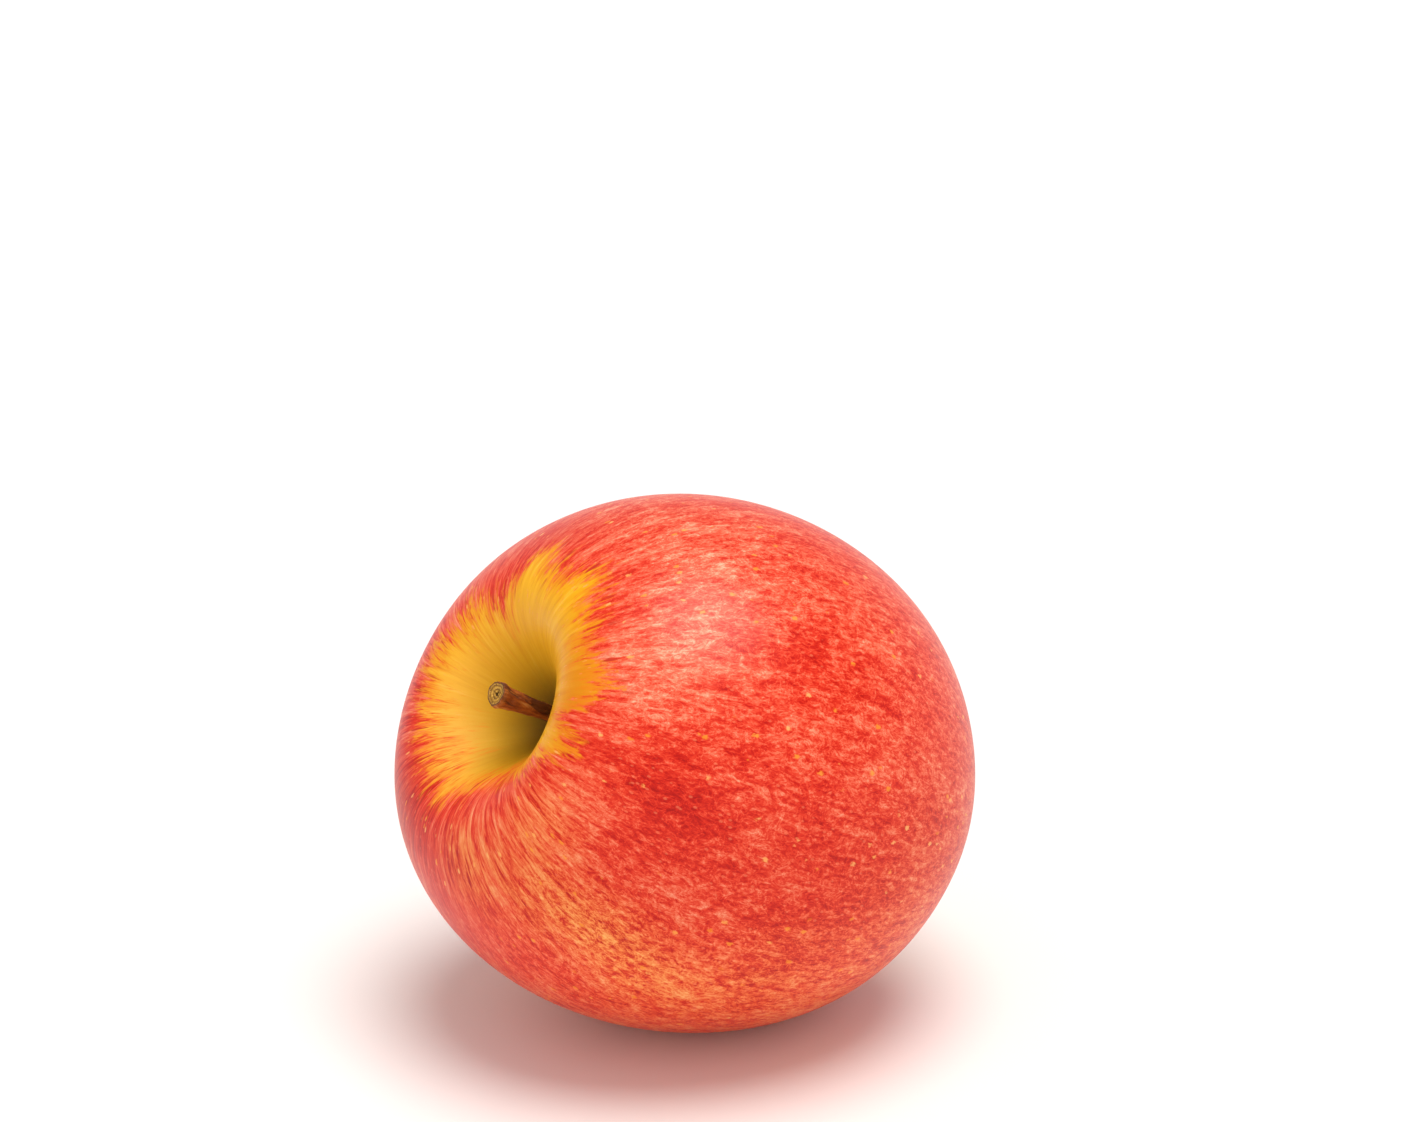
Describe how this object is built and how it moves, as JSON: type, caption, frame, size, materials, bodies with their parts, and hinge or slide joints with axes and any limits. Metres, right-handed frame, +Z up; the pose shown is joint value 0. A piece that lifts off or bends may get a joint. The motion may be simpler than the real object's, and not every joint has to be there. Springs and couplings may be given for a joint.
{
  "type": "apple",
  "caption": "Whole ripe apple lying on its cheek, its woody stem in a deep cavity at one end and a dried calyx in a basin at the other.",
  "frame": {"origin": "middle of the small flat that the apple rests on", "axes": "+Z up, away from the surface it rests on; the core lies in the XZ plane, its stem end towards -X and raised 25.6 degrees, its calyx end towards +X"},
  "size_m": [0.0796, 0.0744, 0.0738],
  "materials": {
    "skin": "waxy satin skin, coral red streaks and grain over yellow, golden round the stem cavity, pale dots",
    "stem_bark": "red-brown cracked bark with a pale broken end",
    "dried_sepal": "dry grey-brown leaf with a downy face",
    "dried_stamen": "dry dark-brown threads"
  },
  "bodies": {
    "root": {"fruit": "skin", "stem": "stem_bark", "sepal_1": "dried_sepal", "sepal_2": "dried_sepal", "sepal_3": "dried_sepal", "sepal_4": "dried_sepal", "sepal_5": "dried_sepal", "stamen_tuft": "dried_stamen"}
  },
  "joints": []
}
